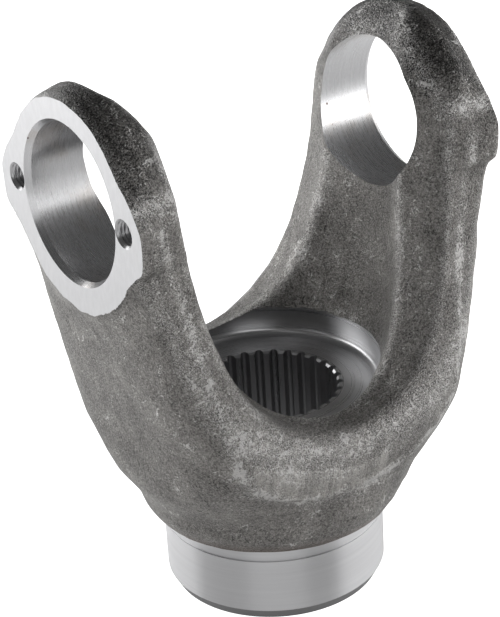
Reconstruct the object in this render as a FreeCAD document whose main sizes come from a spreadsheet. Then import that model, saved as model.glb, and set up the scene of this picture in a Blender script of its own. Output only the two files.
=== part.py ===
import FreeCAD, Part
import Sketcher
import math
import os

# Forged driveshaft yoke: a fork with two ears for a bearing cross, on a hub with a splined bore.
# It is one forging. Z runs up the hub and spline, X along the bearing bores, Y across the ears.
# The origin is the middle of the hub's lower end face. Millimetres throughout.

# Driving sizes: name, value, what it measures
SIZES = [
    # Bearing bores, milled pads and cap bolts
    ("pad_half_span", 81.5, "middle of the fork to a milled pad face"),
    ("bore_height", 184.8, "hub end face to the axis of the bearing bores"),
    ("bore_radius", 30.0, "bearing cup bore"),
    ("bore_lead_radial", 1.56, "lead-in chamfer of a bore, across the pad"),
    ("bore_lead_depth", 2.37, "lead-in chamfer of a bore, into the ear"),
    ("bolt_gap", 7.1, "edge of the bore to the centre of a cap bolt hole"),
    ("bolt_drill", 8.5, "tapping drill of the M10 cap bolts, diameter"),
    ("bolt_sink", 11.0, "countersink of the cap bolt holes, diameter"),
    ("bolt_depth", 19.0, "depth of the tapping drill"),
    ("bolt_side_wall", 11.4, "centre of a cap bolt hole to the side of its boss"),
    ("boss_radius", 16.5, "round of a bolt boss about its hole"),
    ("boss_drop", 12.0, "bore axis down to the lower corner of a bolt boss"),
    ("boss_round", 4.2, "side of a bolt boss to its upper corner"),
    ("shoulder_round", 1.2, "side of the ear to its upper corner, at its inner outline"),
    ("shoulder_height", 9.5, "bore axis up to the upper corner of a boss"),
    ("shoulder_flare", 1.6, "widening of the ear's inner outline down to the boss's lower corner"),
    ("pad_lower_wall", 11.5, "bore to the round lower edge of the pad"),
    ("pad_top_wall", 10.0, "bore to the round top of the pad"),
    ("pad_slope", 2.1, "run of the pad's raised edge for each millimetre that it falls"),
    ("pad_raise", 8.0, "height over which the pad's edge is modelled"),
    # Ears
    ("ear_inner", 55.0, "middle of the fork to the inner outline of an ear"),
    ("ear_crest", 72.0, "middle of the fork to the outline where an ear is highest"),
    ("brow_power", 1.6, "how roundly the top of the ear falls from the crest inwards"),
    ("ear_inner_wall", 3.0, "bore to the top of the ear at its inner outline"),
    ("ear_crest_wall", 12.7, "bore to the top of the ear where it is highest"),
    ("ear_shoulder_wall", 11.0, "bore to the side of the ear at its inner outline"),
    ("die_shift", 1.5, "how far the outside of the forging lies off the middle along X"),
    ("stock", 8.0, "metal past the pads before they are milled"),
    # Throat and pocket
    ("throat_floor", 85.3, "hub end face to the outer edge of the throat floor"),
    ("throat_crown", 9.4, "rise of the throat floor from its edge to the ridge line"),
    ("rim_half_width", 60.0, "middle plane to where the outer throat outline is measured"),
    ("ridge_half_width", 23.0, "middle plane to where the inner throat outline is measured"),
    # Hub
    ("hub_radius", 45.24, "ground seal surface of the hub"),
    ("hub_relief", 0.5, "step from the ground stretch down to the turned stretch"),
    ("hub_ground", 27.8, "height of the ground stretch"),
    ("hub_height", 35.2, "end face to the underside of the collar"),
    ("hub_chamfer_radial", 2.5, "end chamfer, across"),
    ("hub_chamfer_height", 4.6, "end chamfer, along"),
    ("collar_step", 4.6, "hub to the lower edge of the collar"),
    ("collar_swell", 5.2, "lower edge of the collar to its widest"),
    ("collar_rise", 10.8, "underside of the collar to its widest"),
    ("collar_bulge", 3.7, "lower edge of the collar to the bend in its side"),
    ("collar_bend", 4.7, "underside of the collar to the bend in its side"),
    ("collar_overlap", 8.0, "height of the collar inside the bowl"),
    # Splined bore and the counterbore above it
    ("seat_height", 83.0, "hub end face to the floor of the counterbore"),
    ("seat_radius", 46.3, "counterbore"),
    ("seat_corner", 3.0, "sloping corner round the floor of the counterbore"),
    ("seat_depth", 13.0, "height of the counterbore's wall"),
    ("pocket_start_lap", 0.3, "counterbore wall in to the start of the pocket's curve"),
    ("pocket_start_drop", 1.0, "counterbore rim down to the start of the pocket's curve"),
    ("spline_spaces", 30, "number of tooth spaces"),
    ("spline_minor", 28.67, "radius over the tooth tops"),
    ("spline_space_depth", 2.33, "tooth tops to the bottom of a space"),
    ("spline_space_mouth", 2.15, "half width of a space at the tooth tops"),
    ("spline_space_floor", 0.95, "half width of a space at its bottom"),
    ("spline_chamfer", 0.8, "chamfer at both ends of the spline"),
]

# The bowl under the throat, by level: share of the way from the collar to the bore axis,
# half length along X, half width along Y, squareness (2 is an ellipse, more is squarer)
BOWL = [
    ("bowl_foot", 0.072, 56.4, 54.9, 2.0),
    ("bowl_low", 0.119, 60.4, 55.8, 2.1),
    ("bowl_mid", 0.166, 64.1, 56.4, 2.5),
    ("bowl_turn", 0.191, 65.3, 57.4, 2.75),
    ("bowl_high", 0.233, 66.3, 58.8, 3.1),
    ("bowl_top", 0.326, 67.8, 60.3, 4.0),
    ("leg_foot", 0.433, 71.1, 60.3, 4.2),
]

# The legs and ears above it: the same, but measured back from the pad face
LEGS = [
    ("leg_low", 0.567, 6.0, 60.2, 4.1),
    ("leg_mid", 0.714, 2.6, 60.0, 4.2),
    ("leg_top", 0.868, 2.2, 60.0, 5.6),
    ("ear_mid", 1.035, 2.2, 60.0, 9.0),
    ("ear_high", 1.2, 2.2, 60.0, 10.0),
    ("ear_over", 1.4, 2.2, 60.0, 10.0),
]

# Right half of the throat seen along Y: half opening, share of the way from the throat floor
# to the bore axis. The rim is its outer edge; on the ridge it meets the pocket.
RIM = [
    ("rim_low", 28.6, 0.087),
    ("rim_bend", 45.0, 0.248),
    ("rim_leg", 57.5, 0.49),
    ("rim_ear", 65.5, 0.83),
    ("rim_top", 72.0, 1.213),
    ("rim_over", 88.0, 1.535),
]
RIDGE = [
    ("ridge_low", 25.5, 0.158),
    ("ridge_bend", 37.5, 0.288),
    ("ridge_leg", 45.0, 0.49),
    ("ridge_ear", 51.0, 0.75),
    ("ridge_top", 56.5, 1.203),
    ("ridge_over", 78.0, 1.535),
]

# Round pocket inside the legs: radius, share of the way from the counterbore wall to the axis
POCKET = [
    ("pocket_low", 49.5, 0.10),
    ("pocket_bend", 51.7, 0.225),
    ("pocket_leg", 53.6, 0.405),
    ("pocket_ear", 56.2, 0.777),
    ("pocket_top", 57.3, 1.17),
    ("pocket_flare", 60.0, 1.33),
    ("pocket_brow", 70.0, 1.48),
    ("pocket_over", 86.0, 1.576),
]

# Side of a leg seen along X: half width, share of the way from the bore axis to the collar;
# on its inner outline and on its outer one
FLANK_INNER = [
    ("inner_neck", 43.6, 0.11),
    ("inner_upper", 46.0, 0.20),
    ("inner_middle", 48.0, 0.314),
    ("inner_lower", 54.0, 0.521),
    ("inner_saddle", 61.0, 0.689),
    ("inner_foot", 66.0, 0.969),
]
FLANK_OUTER = [
    ("outer_neck", 43.7, 0.11),
    ("outer_upper", 44.2, 0.18),
    ("outer_middle", 45.2, 0.314),
    ("outer_lower", 48.3, 0.521),
    ("outer_saddle", 55.5, 0.72),
    ("outer_foot", 66.0, 0.969),
]

EAR_ARC_START = math.radians(35.0)
SECTION_STEP = 10
SEAM = 90
BOSS_POINTS = 3
BROW_STEPS = 4

doc = FreeCAD.newDocument("yoke")
sheet = doc.addObject("Spreadsheet::Sheet", "sizes")


def fill_sheet():
    rows = [(note, alias, value) for alias, value, note in SIZES]
    for name, level, reach, width, squareness in BOWL + LEGS:
        rows.append(("height share", name + "_level", level))
        rows.append(("half length or set-back", name + "_reach", reach))
        rows.append(("half width", name + "_width", width))
        rows.append(("squareness", name + "_square", squareness))
    for name, reach, level in RIM + RIDGE + POCKET + FLANK_INNER + FLANK_OUTER:
        rows.append(("half opening, radius or half width", name + "_reach", reach))
        rows.append(("height share", name + "_level", level))
    for row, (note, alias, value) in enumerate(rows, start=1):
        sheet.set("A%d" % row, note)
        sheet.set("B%d" % row, "%g" % value)
        sheet.setAlias("B%d" % row, alias)
    doc.recompute()


def size(alias):
    return float(sheet.get(alias))


def line(start, end):
    return Part.LineSegment(FreeCAD.Vector(*start), FreeCAD.Vector(*end)).toShape()


def arc(start, middle, end):
    return Part.Arc(FreeCAD.Vector(*start), FreeCAD.Vector(*middle), FreeCAD.Vector(*end)).toShape()


def smooth(points):
    """Smooth open curve through the points."""
    curve = Part.BSplineCurve()
    curve.interpolate([FreeCAD.Vector(*p) for p in points])
    return curve.toShape()


def smooth_ring(points):
    """Smooth closed curve through the points, with one even step from each to the next."""
    curve = Part.BSplineCurve()
    steps = [float(n) for n in range(len(points) + 1)]
    curve.interpolate(Points=[FreeCAD.Vector(*p) for p in points], PeriodicFlag=True, Parameters=steps)
    return curve.toShape()


def between(low, high, share):
    return low + (high - low) * share


def form(name, shape):
    made = doc.addObject("Part::Feature", name)
    made.Shape = shape
    return made


def outer_section(name, length):
    """Closed curve |x / length| ** n + |y / width| ** n = 1 at one level of the fork."""
    height = between(size("hub_height"), size("bore_height"), size(name + "_level"))
    width, power = size(name + "_width"), size(name + "_square")
    points = []
    for angle in range(SEAM, SEAM + 360, SECTION_STEP):
        across = math.cos(math.radians(angle))
        along = math.sin(math.radians(angle))
        reach = (abs(across / length) ** power + abs(along / width) ** power) ** (-1.0 / power)
        points.append((size("die_shift") + reach * across, reach * along, height))
    return Part.Wire([smooth_ring(points)])


def outer_form():
    """Outside of the fork, in straight runs up through its sections from the collar to past the ears."""
    sections = [outer_section(row[0], size(row[0] + "_reach")) for row in BOWL]
    sections += [outer_section(row[0], size("pad_half_span") - size(row[0] + "_reach")) for row in LEGS]
    return Part.makeLoft(sections, True, True)


def throat_section(rows, floor, y):
    """One U across the fork in the plane at y, closed over the top."""
    low, high = size("throat_floor"), size("bore_height")
    right = [(0.0, y, floor)]
    for row in rows:
        right.append((size(row[0] + "_reach"), y, between(low, high, size(row[0] + "_level"))))
    left = [(-x, y, z) for x, y, z in reversed(right[1:])]
    return Part.Wire([smooth(left + right), line(right[-1], left[0])])


def throat_form():
    """Space between the legs: narrowest at the ridge lines, flaring to the rims front and back."""
    floor = size("throat_floor")
    crown = floor + size("throat_crown")
    rim, ridge = size("rim_half_width"), size("ridge_half_width")
    stations = [throat_section(RIM, floor, -rim), throat_section(RIDGE, crown, -ridge),
                throat_section(RIDGE, crown, ridge), throat_section(RIM, floor, rim)]
    lofts = [Part.makeLoft([a, b], True, True) for a, b in zip(stations[:-1], stations[1:])]
    return lofts[0].fuse(lofts[1:])


def pocket_form():
    """Round pocket in the legs' inner faces, turned about the hub axis."""
    base = size("seat_height") + size("seat_depth")
    curve = [(size("seat_radius") - size("pocket_start_lap"), 0.0, base - size("pocket_start_drop"))]
    for row in POCKET:
        curve.append((size(row[0] + "_reach"), 0.0,
                      between(base, size("bore_height"), size(row[0] + "_level"))))
    low, high = curve[0], curve[-1]
    sides = [smooth(curve), line(high, (0.0, 0.0, high[2])), line((0.0, 0.0, high[2]), (0.0, 0.0, low[2])),
             line((0.0, 0.0, low[2]), low)]
    return Part.Face(Part.Wire(sides)).revolve(FreeCAD.Vector(), FreeCAD.Vector(0, 0, 1), 360)


def ear_outline(x, radius, side):
    """Outline of an ear and its leg seen along X: round top, boss side, flank, straight foot."""
    axis = size("bore_height")
    start = (radius * math.cos(EAR_ARC_START), radius * math.sin(EAR_ARC_START))
    run = [start] + side[:BOSS_POINTS + 1]
    edges = [arc((x, start[0], axis + start[1]), (x, 0.0, axis + radius), (x, -start[0], axis + start[1]))]
    for sign in (1, -1):
        corners = [(x, sign * y, axis + z) for y, z in run]
        edges += [line(a, b) for a, b in zip(corners[:-1], corners[1:])]
        edges.append(smooth([(x, sign * y, axis + z) for y, z in side[BOSS_POINTS:]]))
    y, z = side[-1]
    edges.append(line((x, y, axis + z), (x, -y, axis + z)))
    return Part.Wire(Part.__sortEdges__(edges))


def side_form():
    """Width of the fork across Y: the outline of the ears from their inner side out to the pads."""
    bore = size("bore_radius")
    down = size("hub_height") - size("bore_height")
    shoulder = bore + size("ear_shoulder_wall")
    boss = bore + size("bolt_gap") + size("bolt_side_wall")
    drop = size("boss_drop")
    inner = [(shoulder - size("shoulder_round"), size("shoulder_height")), (shoulder, 0.0),
             (shoulder + size("shoulder_flare"), -drop)]
    outer = [(boss - size("boss_round"), size("shoulder_height")), (boss, 0.0), (boss, -drop)]
    inner += [(size(row[0] + "_reach"), down * size(row[0] + "_level")) for row in FLANK_INNER]
    outer += [(size(row[0] + "_reach"), down * size(row[0] + "_level")) for row in FLANK_OUTER]
    near, crest, far = size("ear_inner"), size("ear_crest"), size("pad_half_span")
    low, high, pad = (bore + size("ear_inner_wall"), bore + size("ear_crest_wall"),
                      bore + size("pad_top_wall"))

    def station(sign, x, radius):
        share = min(1.0, (x - near) / (far - near))
        side = [(between(a[0], b[0], share), between(a[1], b[1], share)) for a, b in zip(inner, outer)]
        return ear_outline(sign * x, radius, side)

    def ear(sign):
        rows = []
        for step in range(BROW_STEPS + 1):
            share = step / BROW_STEPS
            fall = (high - low) * (1.0 - share) ** size("brow_power")
            rows.append(station(sign, between(near, crest, share), high - fall))
        rows.append(station(sign, far, pad))
        rows.append(station(sign, far + size("stock"), pad))
        return rows

    left, right = ear(-1), ear(1)
    pieces = [Part.makeLoft([left[0], right[0]], True, True)]
    for rows in (left, right):
        pieces += [Part.makeLoft([a, b], True, True) for a, b in zip(rows[:-1], rows[1:])]
    return pieces[0].fuse(pieces[1:])


def pad_form(sign):
    """Raised pad of one ear: a disc about the bore and a smaller one about each bolt hole."""
    axis = size("bore_height")
    far = size("pad_half_span") + size("stock")
    near = size("pad_half_span") - size("pad_raise")
    bolt = size("bore_radius") + size("bolt_gap")

    def cone(radius, y):
        foot = radius + size("pad_slope") * size("pad_raise")
        face = FreeCAD.Vector(sign * size("pad_half_span"), y, axis)
        flat = Part.makeCylinder(radius, size("stock"), face, FreeCAD.Vector(sign, 0, 0))
        slope = Part.makeCone(foot, radius, size("pad_raise"), FreeCAD.Vector(sign * near, y, axis),
                              FreeCAD.Vector(sign, 0, 0))
        return [slope, flat]

    pieces = cone(size("bore_radius") + size("pad_lower_wall"), 0.0)
    pieces += cone(size("boss_radius"), bolt) + cone(size("boss_radius"), -bolt)
    return pieces[0].fuse(pieces[1:])


fill_sheet()
outer = form("outer_form", outer_form())
pads = [form("pad_form_%d" % n, pad_form(sign)) for n, sign in enumerate((1, -1), start=1)]
side = form("side_form", side_form())
throat = form("throat_form", throat_form())
pocket = form("pocket_form", pocket_form())


def combined(kind, name, shapes):
    """Boolean of several forms."""
    made = doc.addObject(kind, name)
    made.Shapes = shapes
    return made


body_form = combined("Part::MultiCommon", "body_form", [outer, side])
both_pads = combined("Part::MultiFuse", "both_pads", pads)
trimmed_pads = combined("Part::MultiCommon", "trimmed_pads", [both_pads, side])
fork = combined("Part::MultiFuse", "fork", [body_form, trimmed_pads])
hollow = combined("Part::MultiFuse", "hollow", [throat, pocket])
forging = doc.addObject("Part::Cut", "forging")
forging.Base = fork
forging.Tool = hollow
doc.recompute()

yoke = doc.addObject("PartDesign::Body", "yoke")
yoke.Label = "yoke"
yoke.BaseFeature = forging
doc.recompute()


def total(*aliases):
    """Sum of named sizes, a minus sign taking one away: its value and its expression."""
    value, text = 0.0, "0"
    for alias in aliases:
        name = alias.lstrip("-")
        sign = "-" if alias.startswith("-") else "+"
        value += float(sign + "1") * size(name)
        text += " %s sizes.%s" % (sign, name)
    return value, text


def sketch_on(role, name, lift=None):
    """Empty sketch on one of the body's own origin planes, or lifted off it by a size."""
    sketch = yoke.newObject("Sketcher::SketchObject", name)
    plane = [item for item in yoke.Origin.OriginFeatures if item.Role == role][0]
    sketch.AttachmentSupport = [(plane, "")]
    sketch.MapMode = "FlatFace"
    if lift:
        sketch.setExpression("AttachmentOffset.Base.z", lift)
    return sketch


def place_vertex(sketch, edge, end, across, along):
    """Hold one end of a sketch edge at two expressed distances from the origin."""
    for kind, axis, (value, text) in (("DistanceX", -2, across), ("DistanceY", -1, along)):
        if abs(value) < 1e-9:
            sketch.addConstraint(Sketcher.Constraint("PointOnObject", edge, end, axis))
        else:
            index = sketch.addConstraint(Sketcher.Constraint(kind, -1, 1, edge, end, value))
            sketch.setExpression("Constraints[%d]" % index, text)


def closed_profile(sketch, corners):
    """Closed profile of straight runs through the corners."""
    count = len(corners)
    for start, end in zip(corners, corners[1:] + corners[:1]):
        a = FreeCAD.Vector(start[0][0], start[1][0], 0)
        b = FreeCAD.Vector(end[0][0], end[1][0], 0)
        sketch.addGeometry(Part.LineSegment(a, b), False)
    for n in range(count):
        sketch.addConstraint(Sketcher.Constraint("Coincident", n, 2, (n + 1) % count, 1))
        place_vertex(sketch, n, 1, *corners[n])


def circle(sketch, radius, across=(0.0, "0"), along=(0.0, "0")):
    """Circle of an expressed radius about an expressed centre."""
    edge = sketch.addGeometry(Part.Circle(FreeCAD.Vector(across[0], along[0], 0),
                                          FreeCAD.Vector(0, 0, 1), radius[0]), False)
    index = sketch.addConstraint(Sketcher.Constraint("Radius", edge, radius[0]))
    sketch.setExpression("Constraints[%d]" % index, radius[1])
    place_vertex(sketch, edge, 3, across, along)


def turned(kind, name, sketch, axis):
    """Revolution or groove of a sketch about one of its own axes."""
    made = yoke.newObject(kind, name)
    made.Profile = sketch
    made.ReferenceAxis = (sketch, [axis])
    made.Angle = 360.0
    doc.recompute()
    return made


def cut_through(name, sketch, midplane=False, reverse=False):
    made = yoke.newObject("PartDesign::Pocket", name)
    made.Profile = sketch
    made.Type = 1
    made.Midplane = midplane
    made.Reversed = reverse
    doc.recompute()
    return made


def mirrored(name, original):
    """The same feature again on the other ear."""
    made = yoke.newObject("PartDesign::Mirrored", name)
    made.Originals = [original]
    made.MirrorPlane = ([item for item in yoke.Origin.OriginFeatures if item.Role == "YZ_Plane"][0], [""])
    yoke.Tip = made
    doc.recompute()
    return made


# Hub and collar, turned about Z
zero = total()
hub_sketch = sketch_on("XZ_Plane", "hub_profile")
closed_profile(hub_sketch, [
    (zero, zero),
    (total("hub_radius", "-hub_chamfer_radial"), zero),
    (total("hub_radius"), total("hub_chamfer_height")),
    (total("hub_radius"), total("hub_ground")),
    (total("hub_radius", "-hub_relief"), total("hub_ground")),
    (total("hub_radius", "-hub_relief"), total("hub_height")),
    (total("hub_radius", "collar_step"), total("hub_height")),
    (total("hub_radius", "collar_step", "collar_bulge"), total("hub_height", "collar_bend")),
    (total("hub_radius", "collar_step", "collar_swell"), total("hub_height", "collar_rise")),
    (total("hub_radius", "collar_step", "collar_swell"),
     total("hub_height", "collar_rise", "collar_overlap")),
    (zero, total("hub_height", "collar_rise", "collar_overlap")),
])
hub = turned("PartDesign::Revolution", "hub", hub_sketch, "V_Axis")

# Pads milled flat on both ears
pad_sketch = sketch_on("YZ_Plane", "pad_mill", "sizes.pad_half_span")
circle(pad_sketch, total("bore_height"), zero, total("bore_height"))
milled = cut_through("milled_pad", pad_sketch, reverse=True)
milled_pads = mirrored("milled_pads", milled)

# Bearing bores through both ears
bore_sketch = sketch_on("YZ_Plane", "bore_profile")
circle(bore_sketch, total("bore_radius"), zero, total("bore_height"))
bores = cut_through("bearing_bores", bore_sketch, midplane=True)

# Lead-in chamfers where the bores meet the pads, turned about the bore axis
lead_sketch = sketch_on("XZ_Plane", "bore_lead_profile")
lead_sketch.setExpression("AttachmentOffset.Base.y", "sizes.bore_height")
closed_profile(lead_sketch, [
    (total("pad_half_span", "-bore_lead_depth"), total("bore_radius")),
    (total("pad_half_span"), total("bore_radius")),
    (total("pad_half_span"), total("bore_radius", "bore_lead_radial")),
])
lead = turned("PartDesign::Groove", "bore_lead", lead_sketch, "H_Axis")
leads = mirrored("bore_leads", lead)

# Tapping holes of the cap bolts, countersunk, two on each pad
bolt_sketch = sketch_on("YZ_Plane", "bolt_holes_profile", "sizes.pad_half_span")
drill = (size("bolt_drill") / 2.0, "sizes.bolt_drill / 2")
circle(bolt_sketch, drill, total("bore_radius", "bolt_gap"), total("bore_height"))
twin = bolt_sketch.addGeometry(Part.Circle(FreeCAD.Vector(-total("bore_radius", "bolt_gap")[0],
                                                          size("bore_height"), 0),
                                           FreeCAD.Vector(0, 0, 1), drill[0]), False)
bolt_sketch.addConstraint(Sketcher.Constraint("Equal", 0, twin))
bolt_sketch.addConstraint(Sketcher.Constraint("Symmetric", 0, 3, twin, 3, -2))
doc.recompute()
holes = yoke.newObject("PartDesign::Hole", "bolt_holes")
holes.Profile = bolt_sketch
doc.recompute()
holes.DepthType = "Dimension"
holes.setExpression("Depth", "sizes.bolt_depth")
holes.setExpression("Diameter", "sizes.bolt_drill")
holes.DrillPoint = "Flat"
holes.HoleCutType = "Countersink"
holes.HoleCutCustomValues = True
holes.setExpression("HoleCutDiameter", "sizes.bolt_sink")
holes.HoleCutCountersinkAngle = 90.0
doc.recompute()
all_holes = mirrored("all_bolt_holes", holes)

# Counterbore for the nut and its face, above the spline
seat_sketch = sketch_on("XZ_Plane", "counterbore_profile")
closed_profile(seat_sketch, [
    (zero, total("seat_height")),
    (total("seat_radius", "-seat_corner"), total("seat_height")),
    (total("seat_radius"), total("seat_height", "seat_corner")),
    (total("seat_radius"), total("seat_height", "seat_depth")),
    (zero, total("seat_height", "seat_depth")),
])
seat = turned("PartDesign::Groove", "counterbore", seat_sketch, "V_Axis")

# Bore over the spline teeth, chamfered at both ends
minor_sketch = sketch_on("XZ_Plane", "spline_bore_profile")
closed_profile(minor_sketch, [
    (zero, zero),
    (total("spline_minor", "spline_chamfer"), zero),
    (total("spline_minor"), total("spline_chamfer")),
    (total("spline_minor"), total("seat_height", "-spline_chamfer")),
    (total("spline_minor", "spline_chamfer"), total("seat_height")),
    (zero, total("seat_height")),
])
minor = turned("PartDesign::Groove", "spline_bore", minor_sketch, "V_Axis")

# One tooth space, cut from end to end, then all of them
space_sketch = sketch_on("XY_Plane", "tooth_space_profile")
mouth = (total("spline_minor", "-spline_chamfer"), total("spline_space_mouth"))
floor = (total("spline_minor", "spline_space_depth"), total("spline_space_floor"))
low_mouth = FreeCAD.Vector(mouth[0][0], -mouth[1][0], 0)
low_floor = FreeCAD.Vector(floor[0][0], -floor[1][0], 0)
high_floor = FreeCAD.Vector(floor[0][0], floor[1][0], 0)
high_mouth = FreeCAD.Vector(mouth[0][0], mouth[1][0], 0)
corners = [low_mouth, low_floor, high_floor, high_mouth]
for a, b in zip(corners, corners[1:] + corners[:1]):
    space_sketch.addGeometry(Part.LineSegment(a, b), False)
for n in range(4):
    space_sketch.addConstraint(Sketcher.Constraint("Coincident", n, 2, (n + 1) % 4, 1))
place_vertex(space_sketch, 2, 1, *floor)
place_vertex(space_sketch, 3, 1, *mouth)
space_sketch.addConstraint(Sketcher.Constraint("Symmetric", 0, 1, 3, 1, -1))
space_sketch.addConstraint(Sketcher.Constraint("Symmetric", 0, 2, 2, 1, -1))
space = cut_through("tooth_space", space_sketch, reverse=True)
spline = yoke.newObject("PartDesign::PolarPattern", "spline")
spline.Originals = [space]
spline.Axis = ([item for item in yoke.Origin.OriginFeatures if item.Role == "Z_Axis"][0], [""])
spline.Angle = 360.0
spline.setExpression("Occurrences", "sizes.spline_spaces")
yoke.Tip = spline
doc.recompute()

for item in doc.Objects:
    if "Invalid" in item.State or "Error" in item.State:
        raise RuntimeError("%s did not build: %s" % (item.Label, item.State))

yoke.Placement = FreeCAD.Placement()
os.makedirs("parts", exist_ok=True)
for body in (yoke,):
    shape = body.Shape
    if shape.isNull() or not shape.isValid() or len(shape.Solids) != 1:
        raise RuntimeError("%s is not one valid solid" % body.Label)
    shape.exportStep("parts/%s.step" % body.Label)
    print(body.Label, "volume %.0f mm3" % shape.Volume)
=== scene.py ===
import math

import bpy
import numpy as np
import openvdb
from bpy.props import FloatProperty, FloatVectorProperty, IntProperty, PointerProperty
from mathutils import Matrix


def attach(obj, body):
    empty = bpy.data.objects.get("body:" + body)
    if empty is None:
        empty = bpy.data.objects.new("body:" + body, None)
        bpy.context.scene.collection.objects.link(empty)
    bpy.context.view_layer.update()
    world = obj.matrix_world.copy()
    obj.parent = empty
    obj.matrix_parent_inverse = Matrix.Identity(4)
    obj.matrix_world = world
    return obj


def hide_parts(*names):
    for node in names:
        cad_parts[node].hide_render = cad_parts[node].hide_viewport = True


bl_info = {
    "name": "Forged Driveshaft Yoke",
    "version": (1, 0, 0),
    "blender": (4, 5, 0),
    "location": "View3D > Sidebar > Yoke",
    "description": "Forging with machined bores, pads, hub and spline, and a plain studio",
    "category": "Object",
}

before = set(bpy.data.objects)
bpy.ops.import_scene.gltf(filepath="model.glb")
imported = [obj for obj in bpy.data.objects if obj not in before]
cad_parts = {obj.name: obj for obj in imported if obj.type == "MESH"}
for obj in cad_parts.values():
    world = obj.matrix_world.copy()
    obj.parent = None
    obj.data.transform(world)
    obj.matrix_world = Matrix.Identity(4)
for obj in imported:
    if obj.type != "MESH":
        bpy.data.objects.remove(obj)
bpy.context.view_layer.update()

# The shapes below are in millimetres; this makes metres of them
MM = 0.001

# ------------ sizes of the raw forging

# Sections of the outside, looking down the hub: height, half length along X, half width along Y,
# squareness of the outline (2 is an ellipse)
OUTSIDE = np.array([
    (46.0, 56.4, 54.9, 2.0),
    (53.0, 60.4, 55.8, 2.1),
    (60.0, 64.1, 56.4, 2.5),
    (70.1, 66.3, 58.8, 3.1),
    (84.0, 67.8, 60.3, 4.0),
    (100.0, 71.1, 60.3, 4.2),
    (120.0, 75.5, 60.2, 4.1),
    (142.0, 78.9, 60.0, 4.2),
    (165.1, 79.3, 60.0, 5.6),
    (190.0, 79.3, 60.0, 9.0),
    (214.7, 79.3, 60.0, 10.0),
    (244.6, 79.3, 60.0, 10.0),
])
# How far the outside lies off the machined middle along X, and the round of its foot
DIE_SHIFT = 1.5
FOOT_ROUND = 1.2

# Half of the throat seen along Y, from its floor up: half opening, height. The rim is its outline
# at one distance from the middle plane, the ridge the one where it meets the pocket.
RIM = np.array([(0.0, 85.3), (28.6, 94.0), (45.0, 110.0), (57.5, 134.1), (65.5, 167.9),
                (72.0, 206.0), (88.0, 238.0)])
RIDGE = np.array([(0.0, 94.7), (25.5, 101.0), (37.5, 114.0), (45.0, 134.1), (51.0, 159.9),
                  (56.5, 205.0), (78.0, 238.0)])
RIM_AT, RIDGE_AT = 60.0, 23.0
THROAT_LEVELS = 4
THROAT_POINTS = 49

# Line of the trimmed flash on the front and back faces, half of it, and the upper edge of the
# sheared land above it: distance from the middle, height
FLASH = np.array([(0.0, 60.5), (20.0, 62.8), (33.0, 67.3), (41.4, 72.4), (48.0, 79.0),
                  (51.6, 86.0), (55.1, 100.4), (58.0, 117.0), (62.2, 137.3), (65.8, 157.2),
                  (69.5, 173.4), (71.5, 187.4)])
FLASH_POINTS = 41
FLASH_WIDTH = 1.2
LAND_TOP = np.array([(0.0, 71.0), (20.0, 77.0), (36.0, 82.5), (48.0, 88.0)])
LAND_POINTS = 25
LAND_ENDS = (-48.0, 14.0)

# Upright scores in the land: their places along X, width and depth
LAND_SCORES = (-22.5, 4.0)
SCORE_WIDTH, SCORE_DEPTH = 0.8, 0.4

# Round pocket inside the legs: height, radius
POCKET = np.array([(88.0, 43.6), (104.9, 49.5), (116.0, 51.7), (132.0, 53.6), (165.0, 56.2),
                   (199.9, 57.3), (214.1, 60.0), (227.4, 70.0), (235.9, 86.0)])

# Half width of an ear and its leg seen along X: height from the bore axis, then the half width on
# the inner outline and on the outer one at the pad
FLANK = np.array([
    (-145.0, 66.0, 66.0),
    (-105.0, 61.3, 55.1),
    (-78.0, 54.0, 48.3),
    (-47.0, 48.0, 45.2),
    (-29.0, 45.8, 44.3),
    (-17.0, 43.7, 43.7),
    (-12.0, 42.6, 48.5),
    (0.0, 41.0, 48.5),
    (9.5, 39.8, 44.3),
])
SHOULDER = 9.5
SHOULDER_ROUND = 1.2

# Top of an ear: distances from the middle to its inner outline and to its crest, the wall over
# the bore at the crest, its fall from there to the inner outline, with the power of that curve,
# and to the pad, the angle where the slanted shoulder starts, and the fillet there
EAR_INNER, EAR_CREST = 55.0, 72.0
CREST_WALL = 12.7
BROW_FALL, BROW_POWER = 9.7, 1.6
PAD_FALL = 2.7
TOP_ARC = math.radians(35.0)
TOP_FILLET = 1.0

# Raised pads: wall round the bore, round of a bolt boss about its hole, run of the sloping edge
# for each millimetre of depth and how deep it goes, metal past the pad, and the fillets between
# bore wall and boss and between pad and leg
PAD_WALL, BOSS_RADIUS = 11.5, 16.5
PAD_SLOPE, PAD_EDGE, PAD_STOCK = 2.1, 8.0, 3.0
BOSS_FILLET, PAD_FILLET = 3.0, 2.5

# Rounded side of the collar: height, radius. Then its top inside the bowl, the metal under it
# that the hub's turning takes off, its round and its fillet to the bowl.
COLLAR = np.array([(35.2, 49.84), (38.0, 51.9), (41.0, 53.6), (44.0, 54.7), (46.0, 55.04),
                   (54.0, 55.04)])
COLLAR_TOP, COLLAR_STOCK = 52.0, 1.5
COLLAR_ROUND, COLLAR_FILLET = 1.5, 1.5

# Stub that the hub is turned from: metal round the hub, lower and upper end
STUB_STOCK, STUB_FOOT, STUB_TOP = 2.0, -3.0, 40.0

# Where flash and land stand proud: the half width from which they grow and its run, the height
# that they fade out to and its run; and the share of the flash's height that is torn
PROUD_FROM, PROUD_RUN, PROUD_TOP, PROUD_FADE = 48.0, 6.0, 175.0, 20.0
TORN_SHARE = 0.8

# The throat's round is whole up to a run below this height, and half of it from here up
LOW_TOP, LOW_RUN = 130.0, 40.0

# Edges with wear, lighter from it and partly from painted highlight, with painted glints on them:
# width, how much wider they are low down, and the power of their fall; then the bosses' corners:
# width of the band, the half width from which it grows and its run
WORN_WIDTH, WORN_WIDER, WORN_POWER = 3.6, 2.2, 1.3
CORNER_WIDTH, CORNER_FROM, CORNER_RUN = 3.0, 36.0, 4.0

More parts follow.
